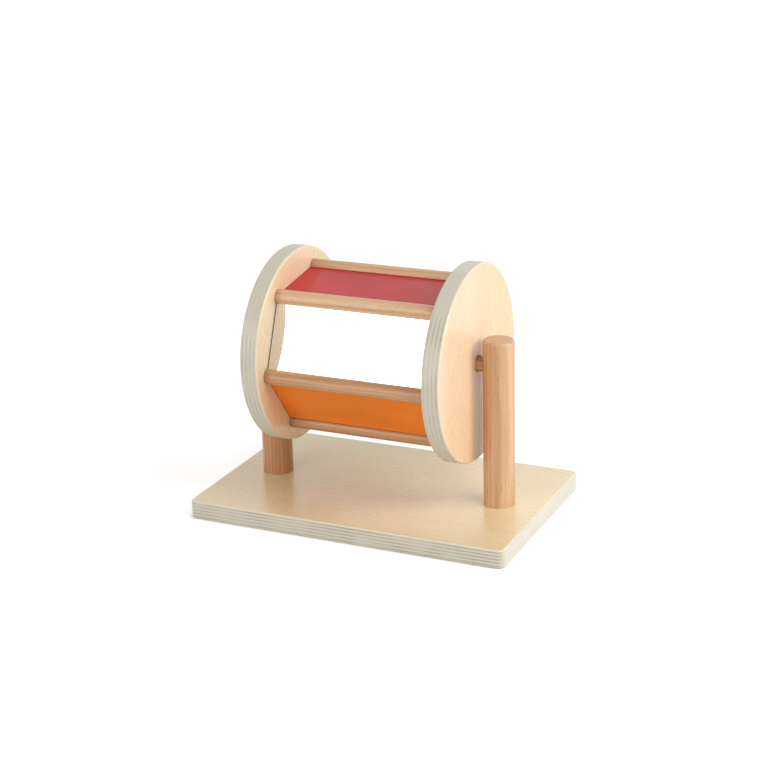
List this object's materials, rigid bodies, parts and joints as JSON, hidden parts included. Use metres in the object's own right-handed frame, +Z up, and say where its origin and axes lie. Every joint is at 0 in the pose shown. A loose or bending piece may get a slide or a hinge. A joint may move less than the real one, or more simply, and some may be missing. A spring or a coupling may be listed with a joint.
{
  "type": "spinning drum toy",
  "caption": "Wooden drum with painted panels and a mirror, spinning on a dowel axle between posts on a plywood base, with jingle bells loose inside.",
  "frame": {"origin": "middle of the base board's underside", "axes": "+X along the axle and the board's long side, -Y the front that the picture shows, +Z up"},
  "size_m": [0.27, 0.172, 0.2085],
  "materials": {
    "plywood": "satin",
    "beech": "satin",
    "red_paint": "satin",
    "orange_paint": "satin",
    "yellow_paint": "satin",
    "green_paint": "satin",
    "blue_paint": "satin",
    "mirror": "polished",
    "brass": "polished",
    "steel": "satin"
  },
  "bodies": {
    "stand": {"base_board": "plywood", "left_post": "beech", "right_post": "beech", "axle": "beech", "left_post_screw": "steel", "right_post_screw": "steel"},
    "drum": {"left_disc": "plywood", "right_disc": "plywood", "rung_1": "beech", "rung_2": "beech", "rung_3": "beech", "rung_4": "beech", "rung_5": "beech", "rung_6": "beech", "blue_panel": "blue_paint", "red_panel": "red_paint", "mirror_sheet": "mirror", "mirror_backing": "plywood", "orange_panel": "orange_paint", "yellow_panel": "yellow_paint", "green_panel": "green_paint"},
    "bell_1": {"bell_1_shell": "brass"},
    "bell_2": {"bell_2_shell": "brass"},
    "bell_3": {"bell_3_shell": "brass"},
    "pellet_1": {"bell_1_pellet": "steel"},
    "pellet_2": {"bell_2_pellet": "steel"},
    "pellet_3": {"bell_3_pellet": "steel"}
  },
  "joints": [
    {"name": "drum_spin", "type": "hinge", "parent": "stand", "child": "drum", "pos_m": [0, 0, 0.1295], "axis": [1, 0, 0], "continuous": true},
    {"name": "bell_1_tumble", "type": "hinge", "parent": "drum", "child": "bell_1", "pos_m": [0, 0, 0.1295], "axis": [1, 0, 0], "continuous": true},
    {"name": "bell_2_tumble", "type": "hinge", "parent": "drum", "child": "bell_2", "pos_m": [0, 0, 0.1295], "axis": [1, 0, 0], "continuous": true},
    {"name": "bell_3_tumble", "type": "hinge", "parent": "drum", "child": "bell_3", "pos_m": [0, 0, 0.1295], "axis": [1, 0, 0], "continuous": true},
    {"name": "pellet_1_rattle", "type": "slide", "parent": "bell_1", "child": "pellet_1", "axis": [0, 0, 1], "range_m": [0, 0.0118]},
    {"name": "pellet_2_rattle", "type": "slide", "parent": "bell_2", "child": "pellet_2", "axis": [0, 0, 1], "range_m": [0, 0.0118]},
    {"name": "pellet_3_rattle", "type": "slide", "parent": "bell_3", "child": "pellet_3", "axis": [0, 0, 1], "range_m": [0, 0.0118]}
  ]
}
